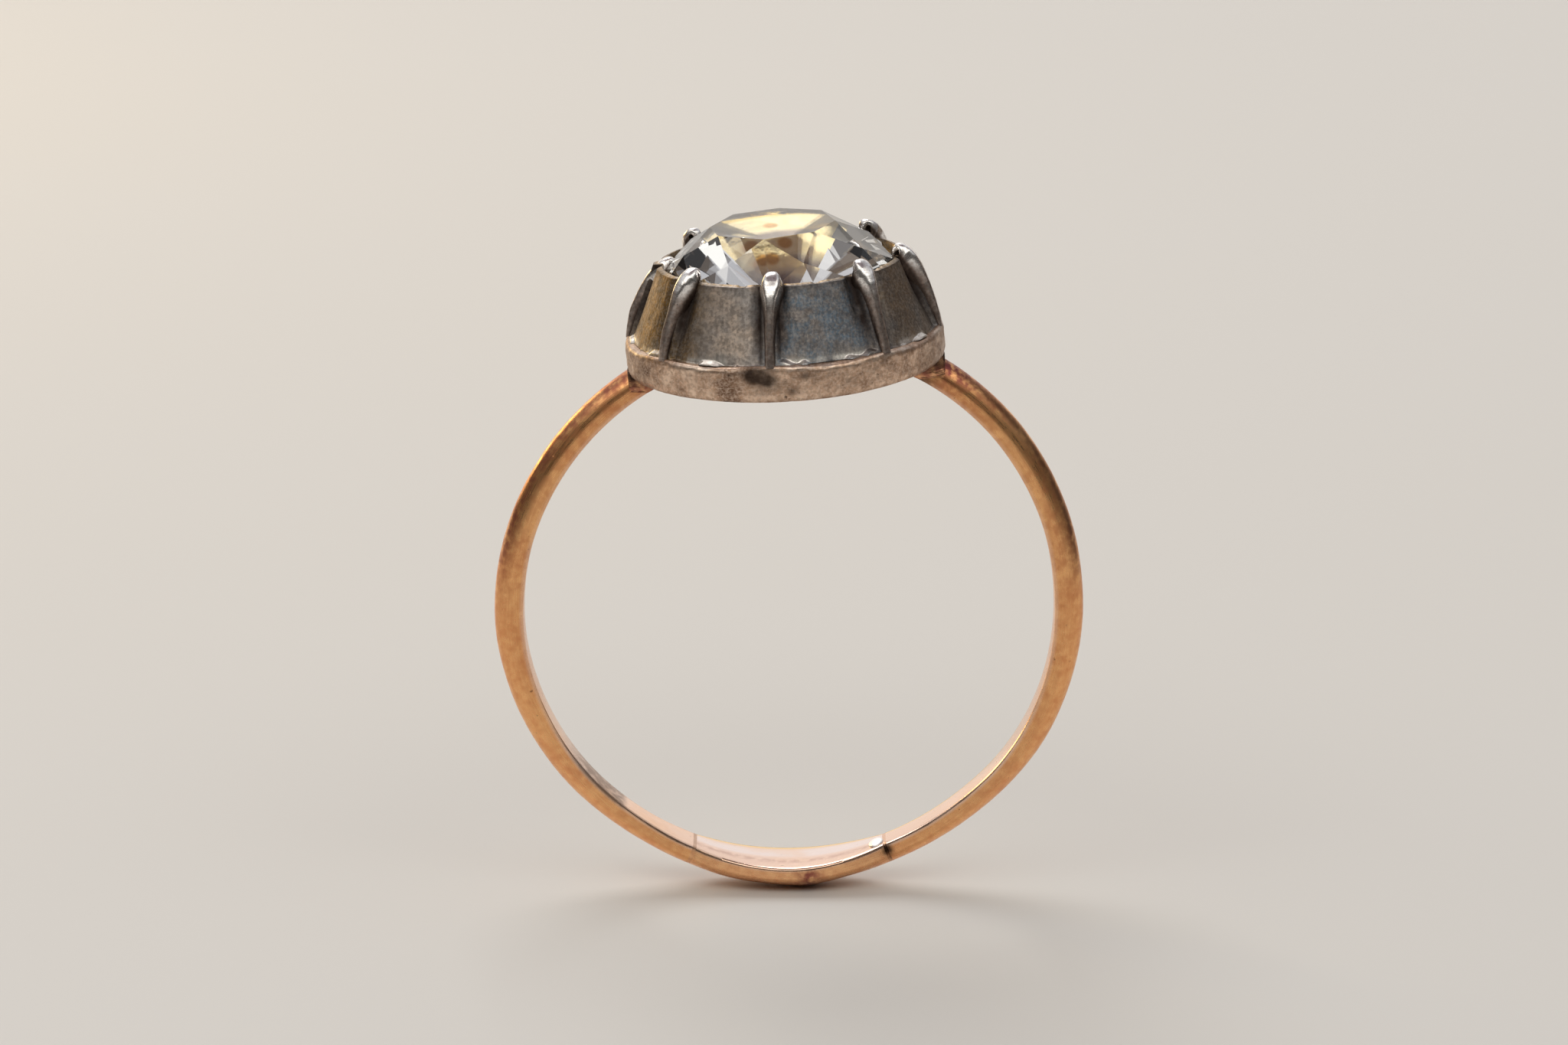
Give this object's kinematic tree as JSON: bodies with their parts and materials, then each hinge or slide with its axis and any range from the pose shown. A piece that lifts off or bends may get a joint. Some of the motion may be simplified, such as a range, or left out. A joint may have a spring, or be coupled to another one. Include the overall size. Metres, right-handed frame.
{
  "type": "engagement ring",
  "caption": "Solitaire finger ring: half-round gold shank with a sizing insert, and a closed-back silver claw head holding a round faceted stone over foil.",
  "frame": {"origin": "centre of the finger hole, halfway across the shank's width", "axes": "+Z from the finger hole up to the stone, +Y along the finger, +X across the shank"},
  "size_m": [0.019, 0.0102, 0.0221],
  "materials": {
    "rose_gold": "rose gold worn to a satin, with fine scratches",
    "insert_gold": "slightly paler gold, polished inside",
    "gold_solder": "gold solder with dark pits",
    "shoulder_solder": "solder with firestain and dark oxide",
    "back_silver": "dull oxidised silver",
    "rim_silver": "worn oxidised silver, scratched and pitted",
    "wall_silver": "dark oxidised silver with brushed scratches and bright worn edges",
    "claw_silver": "silver polished bright at the tips",
    "gold_foil": "bright gold foil",
    "stone": "colourless transparent stone, polished facets"
  },
  "bodies": {
    "root": {"shank_arm_left": "rose_gold", "shank_arm_right": "rose_gold", "sizing_insert": "insert_gold", "sizing_seam_left": "gold_solder", "sizing_seam_right": "gold_solder", "shoulder_solder_left": "shoulder_solder", "shoulder_solder_right": "shoulder_solder", "back_plate": "back_silver", "base_rim": "rim_silver", "collet_wall": "wall_silver", "foil_cup": "gold_foil", "gemstone": "stone", "claw_1": "claw_silver", "claw_2": "claw_silver", "claw_3": "claw_silver", "claw_4": "claw_silver", "claw_5": "claw_silver", "claw_6": "claw_silver", "claw_7": "claw_silver", "claw_8": "claw_silver"}
  },
  "joints": []
}
